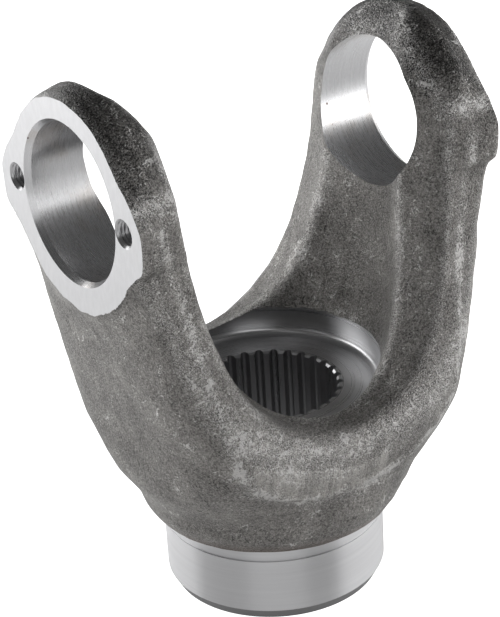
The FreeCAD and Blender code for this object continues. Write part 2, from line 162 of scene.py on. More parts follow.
# Marks of flash and land: width of the flash line's, the half width from which they grow and its
# run, and the height over the bore axis that they fade out to and its run
MARK_WIDTH, MARK_FROM, MARK_RUN, MARK_TOP, MARK_FADE = 2.4, 42.0, 4.0, 8.0, 12.0

# Waves of the skin: seed, number of waves, shortest and longest
TORN_WAVES = (5, 24, 3.0, 12.0)
DENT_WAVES = (7, 26, 9.0, 26.0)
GRAIN_WAVES = (11, 40, 4.5, 9.0)

# Box of the grid that the forging is meshed on
GRID_LOW = np.array([-88.0, -64.0, -6.0])
GRID_HIGH = np.array([88.0, 64.0, 232.0])

# ------------ sizes of the machining

# Lead-in chamfer of the bores, across the pad and into the ear
LEAD_ACROSS, LEAD_DEEP = 1.56, 2.37

# Bolt holes: edge of the bore to their centres, radius of the drill, thread and countersink,
# pitch, depth of the thread and of the drill
BOLT_GAP = 7.1
DRILL, THREAD, SINK = 4.25, 5.0, 5.5
PITCH = 1.5
THREAD_DEPTH, DRILL_DEPTH = 14.5, 17.2

# Counterbore: height of its floor, radius, fillet round the floor, height where its cutter ends
SEAT_FLOOR, SEAT_RADIUS, SEAT_FILLET, SEAT_END = 83.0, 46.3, 3.0, 97.0

# Spline: radius over the tooth tops, depth of a space, end chamfers
SPLINE_MINOR, SPACE_DEPTH, SPLINE_CHAMFER = 28.67, 2.33, 0.8

# Hub: height of its chamfer, of its ground stretch and of its end under the collar, the step down
# to the turned stretch, and the height and reach of the corner at its end
CHAMFER_TOP, GROUND_TOP, HUB_TOP, HUB_STEP = 4.6, 27.5, 35.2, 0.5
NECK_HEIGHT, NECK_REACH = 0.8, 0.3

# Chamfer's cutter: how far it starts below the hub's end, and how far inside the hub it is there
CHAMFER_START, CHAMFER_INSET = -1.0, 3.04

# Cutters: nearly nothing, where one ends on its axis, how far one stands past a pad, radii that
# lie outside the forging round an ear and round the hub, the overlap of one with the next, and the
# heights where those that cut in from the hub's end start
PIN, PAST, MILL_RADIUS, OUTER, OVERLAP = 0.01, 9.0, 75.0, 70.0, 0.1
BORE_START, BROACH_START, FACE_START = -5.0, -4.0, -8.0

# Angle between two faces past which their edge is sharp
SHARP = math.radians(32.0)

# ------------ camera and lights

# Camera that the photograph was taken with: where it stands, what it looks at and its roll
CAMERA_AZIMUTH = math.radians(-34.196)
CAMERA_ELEVATION = math.radians(25.476)
CAMERA_ROLL = math.radians(-3.548)
CAMERA_TARGET = (-0.002635, 0.004355, 0.116110)
CAMERA_DISTANCE = 0.76845
FOCAL_PIXELS = 1939.56
PHOTO_HEIGHT = 617
SENSOR = 36.0

# Soft lights, in metres: name, place, width, height, share of the side light's power; then the
# point that they face
LIGHTS = (
    ("back_light", (-0.508, 1.14, 0.36), 2.1, 0.66, 1.1),
    ("right_light", (1.10, -0.49, 0.36), 1.9, 0.66, 1.1),
    ("front_light", (-0.70, -1.03, 0.36), 1.3, 0.6, 0.22),
)
LIT_POINT = (0.0, 0.0, 0.11)

# Floor: half its side, and how many faces it has along a side
FLOOR_HALF, FLOOR_CELLS = 6000.0, 8

# Machined finishes: share of the steel's colour, roughness, how fast the tool marks change along
# X, Y and Z (along the radius and Z where radial), their depth in metres, and what else differs
MACHINED = {
    "milled_pad": dict(tone=1.1, roughness=0.4, stretch=(60.0, 2200.0, 900.0), depth=0.00003),
    "reamed_bore": dict(tone=1.15, roughness=0.28, stretch=(4200.0, 160.0, 160.0), depth=0.00001,
                        streak=0.08, specks=0.012, stain=0.35),
    "ground_hub": dict(tone=1.08, roughness=0.42, stretch=(45.0, 45.0, 2600.0), depth=0.000006,
                       streak=0.05, specks=0.004, spread=0.9),
    "hub_chamfer": dict(tone=0.35, roughness=0.45, stretch=(200.0, 200.0, 900.0), depth=0.00004),
    "turned_seat": dict(tone=0.95, roughness=0.3, stretch=(2200.0, 2200.0, 1.0), depth=0.00001,
                        specks=0.02, radial=True),
    "cut_spline": dict(tone=0.8, roughness=0.3, stretch=(400.0, 400.0, 40.0), depth=0.00001),
    "tapped_thread": dict(tone=0.85, roughness=0.3, stretch=(900.0, 60.0, 60.0), depth=0.00001),
}
FINISHES = ("forged_skin",) + tuple(MACHINED)


# ------------ shape of the raw forging


def fade(past, run):
    """Share that grows evenly from nothing to one over a run past a border."""
    return np.clip(past / run, 0.0, 1.0)


def bell(off, width):
    """Bell curve: one in its middle, and 1 / e at the width away from it."""
    return np.exp(-(off / width) ** 2)


def low_share(z):
    """Share of the throat's full round: all of it low down, falling to none up the legs."""
    return fade(LOW_TOP - z, LOW_RUN)


def flow(at, knots, values):
    """Smooth curve through the knots: cubic pieces whose slope at a knot is the harmonic mean of
    the slopes on both sides, or level where the curve turns there."""
    x, y = np.asarray(knots, float), np.asarray(values, float)
    step = np.diff(x)
    rise = np.diff(y) / step
    slope = np.concatenate([rise[:1], np.zeros(len(x) - 2), rise[-1:]])
    same = rise[:-1] * rise[1:] > 0
    slope[1:-1][same] = 2 * (rise[:-1] * rise[1:])[same] / (rise[:-1] + rise[1:])[same]
    at = np.clip(at, x[0], x[-1])
    i = np.clip(np.searchsorted(x, at, side="right") - 1, 0, len(x) - 2)
    t = (at - x[i]) / step[i]
    return ((1 + 2 * t) * (1 - t) ** 2 * y[i] + t * (1 - t) ** 2 * step[i] * slope[i]
            + t * t * (3 - 2 * t) * y[i + 1] + t * t * (t - 1) * step[i] * slope[i + 1])


def join_in(a, b, width):
    """Larger of two distances, rounded over the width where they are near each other: the larger
    plus a parabola of the share that is left of the width."""
    near = np.maximum(width - np.abs(a - b), 0.0) / width
    return np.maximum(a, b) + near * near * width * 0.25


def join_out(a, b, width):
    """Smaller of two distances, filled over the width in the same way."""
    return -join_in(-a, -b, width)


def even_flow(at, knots, values):
    """Smooth curve through the knots with even bending: cubic pieces whose second derivatives meet,
    found as the solution of one linear system. The first two pieces are one cubic, and the last
    two as well."""
    step = np.diff(knots)
    rise = np.diff(values, axis=0) / step[:, None]
    system = np.diag(np.r_[1.0, 2 * (step[:-1] + step[1:]), 1.0])
    system += np.diag(np.r_[step[:-1], 0.0], -1) + np.diag(np.r_[0.0, step[1:]], 1)
    system[0, :3] = step[1], -step[0] - step[1], step[0]
    system[-1, -3:] = step[-1], -step[-1] - step[-2], step[-2]
    turns = np.vstack([rise[:1] * 0, 6 * np.diff(rise, axis=0), rise[:1] * 0])
    bend = np.linalg.solve(system, turns)
    i = np.clip(np.searchsorted(knots, at, side="right") - 1, 0, len(step) - 1)
    h, t = step[i][:, None], ((at - knots[i]) / step[i])[:, None]
    return (values[i] * (1 - t) + values[i + 1] * t
            - h * h * t * (1 - t) * (bend[i] * (2 - t) + bend[i + 1] * (1 + t)) / 6)


def curve_points(knots, count):
    """Right half of a smooth plane curve through the knots and their mirror images, at even steps
    of the length of its straight runs."""
    both = np.vstack([knots[:0:-1] * (-1, 1), knots])
    run = np.r_[0.0, np.cumsum(np.hypot(*np.diff(both, axis=0).T))]
    return even_flow(np.linspace(run[len(knots) - 1], run[-1], count), run, both)


def curve_gap(x, z, curve):
    """Distance in the XZ plane to a curve that is mirrored about the middle, below zero on its
    upper and inner side: the least distance to its straight bits, signed by the side."""
    x, z = np.broadcast_arrays(np.abs(x), z)
    px, pz = x.reshape(-1, 1), z.reshape(-1, 1)
    a, b = curve[:-1], curve[1:]
    dx, dz = b[:, 0] - a[:, 0], b[:, 1] - a[:, 1]
    share = ((px - a[:, 0]) * dx + (pz - a[:, 1]) * dz) / (dx * dx + dz * dz)
    share = np.clip(share, 0.0, 1.0)
    gap_x, gap_z = px - a[:, 0] - share * dx, pz - a[:, 1] - share * dz
    square = gap_x * gap_x + gap_z * gap_z
    nearest = square.argmin(axis=1)
    rows = np.arange(len(nearest))
    side = dx[nearest] * gap_z[rows, nearest] - dz[nearest] * gap_x[rows, nearest]
    return (np.sqrt(square[rows, nearest]) * np.where(side > 0, -1.0, 1.0)).reshape(x.shape)


def outside_gap(x, y, z):
    """Distance to the outline |x / length| ** n + |y / width| ** n = 1, whose length, width and n
    change with the height, taken as the misfit over its slope."""
    length, width, power = (flow(z, OUTSIDE[:, 0], OUTSIDE[:, n]) for n in (1, 2, 3))
    u, v = np.abs(x - DIE_SHIFT) / length, np.abs(y) / width
    g = np.maximum((u ** power + v ** power) ** (1 / power), 1e-3)
    slope = np.hypot((u / g) ** (power - 1) / length, (v / g) ** (power - 1) / width)
    return (g - 1.0) / slope


def side_gap(x, y, z, s):
    """Distance to the outline of the ears and legs seen along X: a round top, a slanted shoulder
    and a flank, each changing from the inner outline of the ear to its pad."""
    dz = z - s["axis"]
    share = fade(np.abs(x) - EAR_INNER, s["pad"] - EAR_INNER)
    inner, outer = (flow(dz, FLANK[:, 0], FLANK[:, n]) for n in (1, 2))
    flank = np.abs(y) - (inner + (outer - inner) * share)
    brow = fade(EAR_CREST - np.abs(x), EAR_CREST - EAR_INNER)
    past = fade(np.abs(x) - EAR_CREST, s["pad"] - EAR_CREST)
    top = s["bore"] + CREST_WALL - BROW_FALL * brow ** BROW_POWER - PAD_FALL * past
    start_y, start_z = top * math.cos(TOP_ARC), top * math.sin(TOP_ARC)
    shoulder = FLANK[-1, 1] + (FLANK[-1, 2] - FLANK[-1, 1]) * share
    run_y, run_z = shoulder - start_y, start_z - SHOULDER
    slant = (np.abs(y) - shoulder) * run_z + (dz - SHOULDER) * run_y
    slant = slant / np.hypot(run_y, run_z)
    below = np.maximum(join_in(flank, slant, SHOULDER_ROUND), dz - start_z)
    return join_out(np.hypot(y, dz) - top, below, TOP_FILLET)


def pad_gap(x, y, z, s):
    """Distance to the raised pads: a disc about the bore and one about each bolt hole, all of them
    widening with the depth below the pad's face."""
    depth = np.maximum(s["pad"] - np.abs(x), 0.0) * PAD_SLOPE
    lean = math.hypot(1.0, PAD_SLOPE)
    disc = (np.hypot(y, z - s["axis"]) - s["bore"] - PAD_WALL - depth) / lean
    boss = (np.hypot(np.abs(y) - s["bolt"], z - s["axis"]) - BOSS_RADIUS - depth) / lean
    limit = np.maximum(np.abs(x) - s["pad"] - PAD_STOCK, s["pad"] - PAD_EDGE - np.abs(x))
    return np.maximum(join_out(disc, boss, BOSS_FILLET), limit)


def skin_waves(x, y, z, seed, count, shortest, longest):
    """Unevenness of a forged skin, mostly between -1 and 1: the sum of cosine waves with random
    directions, lengths and starts, over the square root of their number, times 0.7."""
    rng = np.random.default_rng(seed)
    way = rng.normal(size=(count, 3))
    way /= np.linalg.norm(way, axis=1, keepdims=True)
    length = rng.uniform(shortest, longest, count)
    start = rng.uniform(0, 2 * math.pi, count)
    wave = 0.0
    for (a, b, c), each, phase in zip(way, 2 * math.pi / length, start):
        wave = wave + np.cos((a * x + b * y + c * z) * each + phase)
    return wave / math.sqrt(count) * 0.7


def forging_gaps(x, y, z, s):
    """Distances to the forms that bound the forging: its outside, its outline seen along X, the
    throat and the pocket; and to the curves of the flash and of the sheared land's upper edge.
    The throat blends the distances to a row of outlines between the ridge and the rim."""
    outside = join_out(outside_gap(x, y, z), pad_gap(x, y, z, s), PAD_FILLET)
    side = side_gap(x, y, z, s)
    lean = flow(z + 0.5, *POCKET.T) - flow(z - 0.5, *POCKET.T)
    wall = (np.hypot(x, y) - flow(z, *POCKET.T)) / np.hypot(1.0, lean)
    pocket = np.maximum(wall, POCKET[0, 0] - z)
    open_share = fade(np.abs(y) - RIDGE_AT, RIM_AT - RIDGE_AT)
    rim, ridge = curve_points(RIM, THROAT_POINTS), curve_points(RIDGE, THROAT_POINTS)
    throat = 0.0
    for level in range(THROAT_LEVELS + 1):
        weight = np.clip(1.0 - np.abs(open_share * THROAT_LEVELS - level), 0.0, 1.0)
        outline = ridge + (rim - ridge) * (level / THROAT_LEVELS)
        throat = throat + weight * curve_gap(x, z, outline)
    flash = curve_gap(x, z, curve_points(FLASH, FLASH_POINTS))
    land = curve_gap(x, z, curve_points(LAND_TOP, LAND_POINTS))
    return outside, side, throat, pocket, flash, land


def land_share(x, flash, land):
    """Share of the sheared land: one between the flash line and its upper edge, and between its
    two ends, falling to nothing across a millimetre."""
    across = np.minimum(x - LAND_ENDS[0], LAND_ENDS[1] - x)
    return np.clip(np.minimum(np.minimum(-flash, land), across) + 0.5, 0.0, 1.0)


def drag_marks(x, y, z):
    """Wrinkles low in the pocket on the right: a cosine of the angle round Z, bent by a sine of
    the height, under a bell of the height and one of the angle."""
    count, bend, bend_length = 61.0, 2.0, 2.7
    height, height_width = 107.0, 7.0
    angle, angle_width, depth = 0.5, 0.5, 0.22
    around = np.arctan2(y, x)
    drag = np.cos(count * around + bend * np.sin(z / bend_length))
    drag = drag * bell(z - height, height_width) * (x > 0)
    return depth * drag * bell(around - angle, angle_width)


def forging_field(x, y, z, s):
    """Distance to the skin of the raw forging, below zero in the metal: the outside with the
    flash line and the sheared land standing proud on both faces, less throat and pocket with
    rounded rims, then the collar, the waves of the skin and a stub for the hub."""
    outside, side, throat, pocket, flash, land = forging_gaps(x, y, z, s)
    fork = join_in(join_in(outside, side, s["edge"]), OUTSIDE[0, 0] - z, FOOT_ROUND)
    face = fade(np.abs(y) - PROUD_FROM, PROUD_RUN) * fade(PROUD_TOP - z, PROUD_FADE)
    torn = 1.0 + TORN_SHARE * skin_waves(x, y, z, *TORN_WAVES)
    proud = bell(flash, FLASH_WIDTH) * s["flash"] * torn
    score = sum(bell(x - place, SCORE_WIDTH) for place in LAND_SCORES)
    fork = fork - (proud + (s["land"] - SCORE_DEPTH * score) * land_share(x, flash, land)) * face
    metal = join_in(fork, -throat, s["rim"] * (0.5 + 0.5 * low_share(z)))
    metal = join_in(metal, drag_marks(x, y, z) - pocket, s["ridge"])
    radius = np.hypot(x, y)
    swell = radius - flow(z, *COLLAR.T)
    ends = np.maximum(z - COLLAR_TOP, HUB_TOP - COLLAR_STOCK - z)
    metal = join_out(metal, join_in(swell, ends, COLLAR_ROUND), COLLAR_FILLET)
    dents = skin_waves(x, y, z, *DENT_WAVES) * s["dents"]
    grain = skin_waves(x, y, z, *GRAIN_WAVES) * s["grain"]
    metal = metal + dents + grain
    stub = np.maximum(radius - s["hub"] - STUB_STOCK, np.maximum(STUB_FOOT - z, z - STUB_TOP))
    return np.minimum(metal, stub)


def forging_mesh(s, step):
    """Skin of the forging where its distance field is zero: the field on a grid of even steps is
    made faces, and each corner is then drawn onto the exact field along its slope."""
    counts = np.ceil((GRID_HIGH - GRID_LOW) / step).astype(int)
    x, y, z = (GRID_LOW[n] + step * np.arange(counts[n]) for n in range(3))
    field = forging_field(x[:, None, None], y[None, :, None], z[None, None, :], s)
    band = 3.0 * step
    grid = openvdb.FloatGrid(band)
    grid.copyFromArray(np.clip(field, -band, band).astype(np.float32))
    points, quads = grid.convertToQuads()
    points = points.astype(float) * step + GRID_LOW
    reach, least_slope, longest = 0.05, 0.2, 0.6 * step
    for _ in range(2):
        value = forging_field(*points.T, s)
        beside = (forging_field(*(points + reach * axis).T, s) for axis in np.eye(3))
        slope = np.stack([field - value for field in beside], axis=1) / reach
        size = np.maximum((slope ** 2).sum(axis=1), least_slope)
        points -= slope * np.clip(value / size, -longest, longest)[:, None]
    return points, quads[:, ::-1]


# ------------ machining cutters


def ring_faces(rows, count):
    """Quads of a grid of rows round a closed ring, with one face over each end."""
    r, c = np.meshgrid(np.arange(rows - 1), np.arange(count), indexing="ij")
    a, b = r * count + c, r * count + (c + 1) % count
    quads = np.stack([a, b, b + count, a + count], axis=-1).reshape(-1, 4).tolist()
    return quads + [list(range(count))[::-1], list(range((rows - 1) * count, rows * count))]


def turned_points(profile, count, along="Z"):
    """Profile of (distance along the axis, radius) turned about an axis: radius times cosine and
    sine of the angle, at even angles."""
    profile = np.asarray(profile, float)
    angle = np.arange(count) * 2 * math.pi / count
    radius, run = profile[:, 1, None], np.repeat(profile[:, :1], count, axis=1)
    a, b = radius * np.cos(angle), radius * np.sin(angle)
    order = {"Z": (a, b, run), "X": (run, a, b)}[along]
    return np.stack(order, axis=-1).reshape(-1, 3)


def turned(profile, count, along="Z", height=0.0):
    """Turned solid with a face over each end, its axis at a height."""
    return turned_points(profile, count, along) + (0, 0, height), ring_faces(len(profile), count)


def turned_ring(profile, count):
    """Closed profile of (height, radius) turned about the Z axis into a ring."""
    r, c = np.meshgrid(np.arange(len(profile)), np.arange(count), indexing="ij")
    step, turn = (r + 1) % len(profile) * count, (c + 1) % count
    quads = np.stack([r * count + c, r * count + turn, step + turn, step + c], axis=-1)
    return turned_points(profile, count), quads.reshape(-1, 4).tolist()


def rounded(corner, start, end, radius, count):
    """Points of an arc that rounds a square corner between two directions."""
    start, end = np.array(start), np.array(end)
    centre = np.add(corner, radius * (start + end))
    return [tuple(centre - radius * (math.cos(t) * end + math.sin(t) * start))
            for t in np.linspace(0.0, math.pi / 2, count)]


def threaded(count, rows_per_turn):
    """Tap for a bolt hole: the radius grows from the drill's to the thread's as a triangle wave of
    depth / pitch less angle / turn, with flats, and the wave fades at the thread's end. Above it
    is the countersink's cone, and below it the drill's point."""
    start, sink_end, point, flank, flat = -2.5, 2.0, 1.8, 2.6, 0.85
    rows = np.linspace(start, THREAD_DEPTH, int((THREAD_DEPTH - start) / PITCH * rows_per_turn))
    angle = np.arange(count) * 2 * math.pi / count
    phase = (rows[:, None] / PITCH - angle[None, :] / (2 * math.pi)) % 1.0
    groove = np.clip(1.0 - np.abs(phase - 0.5) * flank, 0.0, flat)
    radius = DRILL + (THREAD - DRILL) * groove * fade(THREAD_DEPTH - rows, PITCH)[:, None]
    cone = np.where(rows[:, None] < sink_end, SINK - rows[:, None], 0.0)
    radius = np.maximum(radius, cone)
    tail = np.array([(DRILL_DEPTH, DRILL), (DRILL_DEPTH + point, 0.05)])
    radius = np.concatenate([radius, np.repeat(tail[:, 1:], count, axis=1)])
    run = np.repeat(np.concatenate([rows, tail[:, 0]])[:, None], count, axis=1)
    points = np.stack([-run, radius * np.cos(angle), radius * np.sin(angle)], axis=-1)
    return points.reshape(-1, 3), ring_faces(len(radius), count)


def splined(spaces, low, high):
    """Cutter for the tooth spaces: an outline round the axis that is low between the spaces, rises
    along straight flanks into each space and has a rounded bottom, carried from end to end."""
    pitch, root, between = 2 * math.pi / spaces, SPLINE_MINOR + SPACE_DEPTH, SPLINE_MINOR - 0.35
    across = np.array([-2.05, -1.15, -0.95, -0.5, 0.0, 0.5, 0.95, 1.15, 2.05])
    rise = [between, SPLINE_MINOR + 1.55, root - 0.35, root - 0.06]
    out = np.array(rise + [root] + rise[::-1])
    angle = (np.arange(spaces)[:, None] * pitch + np.arctan2(across, out)[None, :]).reshape(-1)
    radius = np.tile(np.hypot(across, out), spaces)
    ring = np.stack([radius * np.cos(angle), radius * np.sin(angle)], axis=1)
    ends = [np.column_stack([ring, np.full(len(ring), height)]) for height in (low, high)]
    return np.concatenate(ends), ring_faces(2, len(ring))


def mesh_object(name, points, faces, materials, index):
    """Object with one material index on all its faces, its points given in millimetres."""
    mesh = bpy.data.meshes.new(name)
    mesh.from_pydata((np.asarray(points) * MM).tolist(), [], [list(f) for f in faces])
    for material in materials:
        mesh.materials.append(material)
    mesh.polygons.foreach_set("material_index", np.full(len(mesh.polygons), index, np.int32))
    if signed_volume(mesh) < 0:
        mesh.flip_normals()
    mesh.update()
    made = bpy.data.objects.new(name, mesh)
    bpy.context.scene.collection.objects.link(made)
    return made


def corner_places(mesh):
    """Places of a mesh's vertices, in metres."""
    place = np.empty(len(mesh.vertices) * 3, np.float32)
    mesh.vertices.foreach_get("co", place)
    return place.reshape(-1, 3)


def signed_volume(mesh):
    """Volume inside a closed mesh, below zero if its faces point inwards: the sum over its
    triangles of corner . (corner x corner) / 6."""
    mesh.calc_loop_triangles()
    corners = np.empty(len(mesh.loop_triangles) * 3, np.int32)
    mesh.loop_triangles.foreach_get("vertices", corners)
    a, b, c = corner_places(mesh)[corners.reshape(-1, 3)].transpose(1, 0, 2).astype(float)
    return float(np.einsum("ij,ij->", a, np.cross(b, c)) / 6.0)


def cut(target, cutters):
    """Takes the cutters out of the target one after another, and removes them."""
    for cutter in cutters:
        modifier = target.modifiers.new("cut", "BOOLEAN")
        modifier.operation = "DIFFERENCE"
        modifier.solver = "MANIFOLD"
        modifier.object = cutter
    bpy.context.view_layer.update()
    done = target.evaluated_get(bpy.context.evaluated_depsgraph_get())
    mesh = bpy.data.meshes.new_from_object(done)
    old = target.data
    target.modifiers.clear()
    target.data = mesh
    bpy.data.meshes.remove(old)
    for cutter in cutters:
        data = cutter.data
        bpy.data.objects.remove(cutter)
        bpy.data.meshes.remove(data)


def sharpen_borders(mesh):
    """Marks each edge sharp where the faces on its two sides have different finishes: the lowest
    and the highest finish beside it aren't the same."""
    edge = np.empty(len(mesh.loops), np.int32)
    finish, corners = (np.empty(len(mesh.polygons), np.int32) for _ in range(2))
    mesh.loops.foreach_get("edge_index", edge)
    mesh.polygons.foreach_get("material_index", finish)
    mesh.polygons.foreach_get("loop_total", corners)
    finish = np.repeat(finish, corners)
    low, high = np.full(len(mesh.edges), len(FINISHES)), np.full(len(mesh.edges), -1)
    np.minimum.at(low, edge, finish)
    np.maximum.at(high, edge, finish)
    sharp = mesh.attributes.get("sharp_edge")
    sharp = sharp or mesh.attributes.new("sharp_edge", "BOOLEAN", "EDGE")
    marked = np.empty(len(mesh.edges), bool)
    sharp.data.foreach_get("value", marked)
    sharp.data.foreach_set("value", marked | (low != high))


# ------------ materials


def feed(tree, made, sockets):
    """Gives each named socket of a node its value, or joins it to the socket given for it."""
    for name, value in sockets.items():
        if isinstance(value, bpy.types.NodeSocket):
            tree.links.new(value, made.inputs[name])
        else:
            made.inputs[name].default_value = value
    return made


def node(tree, kind, sockets, **settings):
    """Node with its settings and its sockets."""
    made = tree.nodes.new("ShaderNode" + kind)
    for name, value in settings.items():
        setattr(made, name, value)
    return feed(tree, made, sockets)


def maths(tree, operation, a, b):
    return node(tree, "Math", {0: a, 1: b}, operation=operation).outputs[0]


def plus(tree, a, b):
    return maths(tree, "ADD", a, b)


def less(tree, a, b):
    return maths(tree, "SUBTRACT", a, b)


def times(tree, a, b):
    return maths(tree, "MULTIPLY", a, b)


def noise(tree, vector, scale, detail, rough=0.55, distortion=0.0):
    sockets = {"Vector": vector, "Scale": scale, "Detail": detail, "Roughness": rough,
               "Distortion": distortion}
    return node(tree, "TexNoise", sockets).outputs["Fac"]


def ramp(tree, value, low, high, to_low=0.0, to_high=1.0):
    """Value drawn evenly from one range onto another, and held at its ends."""
    return node(tree, "MapRange", {"Value": value, "From Min": low, "From Max": high,
                                   "To Min": to_low, "To Max": to_high},
                clamp=True).outputs["Result"]


def blend(tree, share, a, b):
    """Colour between two others; 0, 6, 7 and 2 are the Mix node's sockets for colours."""
    return node(tree, "Mix", {0: share, 6: a, 7: b}, data_type="RGBA").outputs[2]


def solid(colour, share=1.0):
    """Colour with full alpha, or a share of its brightness."""
    return tuple(c * share for c in colour) + (1.0,)


def group(name, inputs, outputs):
    """Empty node group with its sockets, what it is given, and its output node."""
    tree = bpy.data.node_groups.new(name, "ShaderNodeTree")
    for way, sockets in (("INPUT", inputs), ("OUTPUT", outputs)):
        for socket, kind in sockets.items():
            tree.interface.new_socket(socket, in_out=way, socket_type="NodeSocket" + kind)
    given = tree.nodes.new("NodeGroupInput").outputs
    return tree, given, tree.nodes.new("NodeGroupOutput")


def placed_group(tree, name, sockets):
    return node(tree, "Group", sockets, node_tree=bpy.data.node_groups[name]).outputs


def tool_marks_group():
    """Fine tool marks: noise that changes fast along one direction and slowly along the others."""
    tree, given, result = group("Tool Marks", {"Vector": "Vector", "Stretch": "Vector"},
                                {"Height": "Float", "Streaks": "Float"})
    stretched = node(tree, "VectorMath", {0: given["Vector"], 1: given["Stretch"]},
                     operation="MULTIPLY").outputs[0]
    fine = noise(tree, stretched, 1.0, 3.0, 0.6)
    broad = noise(tree, stretched, 0.23, 2.0, 0.5)
    feed(tree, result, {"Height": plus(tree, times(tree, fine, 0.65), times(tree, broad, 0.35)),
                        "Streaks": ramp(tree, broad, 0.3, 0.7)})


def specks_group():
    """Small scattered spots: the middles of a random few of the cells that fill the space."""
    tree, given, result = group("Specks", {"Vector": "Vector", "Scale": "Float",
                                           "Amount": "Float"}, {"Mask": "Float"})
    cells = node(tree, "TexVoronoi", {"Vector": given["Vector"], "Scale": given["Scale"]}).outputs
    spot = ramp(tree, cells["Distance"], 0.28, 0.12)
    chosen = node(tree, "TexWhiteNoise", {"Vector": cells["Position"]}, noise_dimensions="3D")
    few = maths(tree, "LESS_THAN", chosen.outputs["Value"], given["Amount"])
    feed(tree, result, {"Mask": times(tree, spot, few)})


def forge_scale_group():
    """Forge scale: fine grain and pits, broad patches, flakes where the scale came off, and painted
    glints, bright spots in the colour on rubbed edges that stand in for glints of light. Flakes are
    where their noise, with some of the patches' and of the grain's, is over a limit that is lower
    where the skin is flaked."""
    tree, given, result = group("Forge Scale", {"Vector": "Vector", "Rub": "Float",
                                                "Flaked": "Float"},
                                {"Height": "Float", "Shade": "Float", "Flakes": "Float",
                                 "Painted Glints": "Float"})
    vector = given["Vector"]
    grain = noise(tree, vector, 1500.0, 2.0, 0.6)
    pits = noise(tree, vector, 700.0, 4.0, 0.7)
    patches = noise(tree, vector, 55.0, 4.0, 0.6, 0.4)
    flakes = noise(tree, vector, 240.0, 6.0, 0.72, 1.0)
    sparks = noise(tree, vector, 2700.0, 1.0, 0.5)
    height = plus(tree, times(tree, grain, 0.6), times(tree, pits, 0.9))
    fine, coarse, broad = (times(tree, ramp(tree, part, 0.38, 0.62), share)
                           for part, share in ((grain, 0.42), (pits, 0.3), (patches, 0.22)))
    shade = plus(tree, plus(tree, fine, coarse), broad)
    lifted = plus(tree, times(tree, flakes, 0.7), times(tree, patches, 0.3))
    lifted = plus(tree, lifted, times(tree, less(tree, grain, 0.5), 0.3))
    limit = less(tree, 0.585, times(tree, given["Flaked"], 0.115))
    # Painted glints: bright spots put into the colour, most of them on rubbed edges, that stand in
    # for glints of light
    painted_glint = ramp(tree, sparks, 0.5, 0.66)
    rubbed = ramp(tree, given["Rub"], 0.0, 1.0, 0.12, 1.0)
    feed(tree, result, {"Height": height, "Shade": shade,
                        "Flakes": ramp(tree, less(tree, lifted, limit), 0.0, 0.045),
                        "Painted Glints": times(tree, painted_glint, rubbed)})


def new_material(name):
    """Material with a Principled shader, and the object's own coordinates."""
    material = bpy.data.materials.new(name)
    material.use_nodes = True
    tree = material.node_tree
    place = tree.nodes.new("ShaderNodeTexCoord").outputs["Object"]
    return material, tree, tree.nodes["Principled BSDF"], place


def bumped(tree, height, depth):
    """Normal of a surface with a height, which is in parts of the depth in metres."""
    return node(tree, "Bump", {"Height": height, "Distance": depth}).outputs["Normal"]


def forged_skin(colours):
    """Dark forge scale with a fine glossy grain, pale flakes along the flash and in patches, rubbed
    edges lighter from wear and from painted highlight, painted glints along them, painted shade
    that darkens the tops of the ears, rust under the collar, and upright shear marks on the sheared
    land."""
    _, tree, shader, place = new_material("forged_skin")
    wear_and_highlight, flash, land = (node(tree, "Attribute", {}, attribute_name=name).outputs["Fac"]
                         for name in ("wear_and_highlight", "flash", "land"))
    height = node(tree, "SeparateXYZ", {0: place}).outputs[2]
    # Wear on the rubbed edges and the flash line; on the edges it also stands for painted highlight
    # and places the painted glints
    rub = maths(tree, "MAXIMUM", wear_and_highlight, times(tree, flash, 0.6))
    flaked = maths(tree, "MAXIMUM", flash, times(tree, wear_and_highlight, 0.7))
    scale = placed_group(tree, "Forge Scale", {"Vector": place, "Rub": rub, "Flaked": flaked})
    marks = placed_group(tree, "Tool Marks", {"Vector": place, "Stretch": (1700.0, 300.0, 60.0)})
    # Painted shade: the skin grows darker towards the tops of the ears, standing in for the shade
    # on their upward faces
    painted_top_shade = ramp(tree, height, 0.186, 0.208, 0.0, 0.36)
    # Lighter along rubbed edges: partly wear, partly painted highlight
    shade = less(tree, plus(tree, scale["Shade"], times(tree, rub, 0.15)), painted_top_shade)
    shade = plus(tree, shade, times(tree, times(tree, land, marks["Streaks"]), 0.5))
    skin = blend(tree, shade, solid(colours.scale_dark), solid(colours.scale_light))
    rust = times(tree, ramp(tree, height, 0.0405, 0.036), 0.6)
    skin = blend(tree, rust, skin, solid(colours.rust))
    # Flakes are pale bare metal; the glints are painted highlights in the same pale colour, with
    # less roughness
    bright = maths(tree, "MAXIMUM", times(tree, scale["Flakes"], 0.6), scale["Painted Glints"])
    relief = plus(tree, scale["Height"], times(tree, times(tree, land, marks["Height"]), 0.8))
    feed(tree, shader, {"Base Color": blend(tree, bright, skin, solid(colours.rubbed)),
                        "Roughness": ramp(tree, bright, 0.0, 1.0, 0.34, 0.26),
                        "Metallic": ramp(tree, bright, 0.0, 1.0, 0.88, 1.0),
                        "Normal": bumped(tree, relief, 0.0011)})


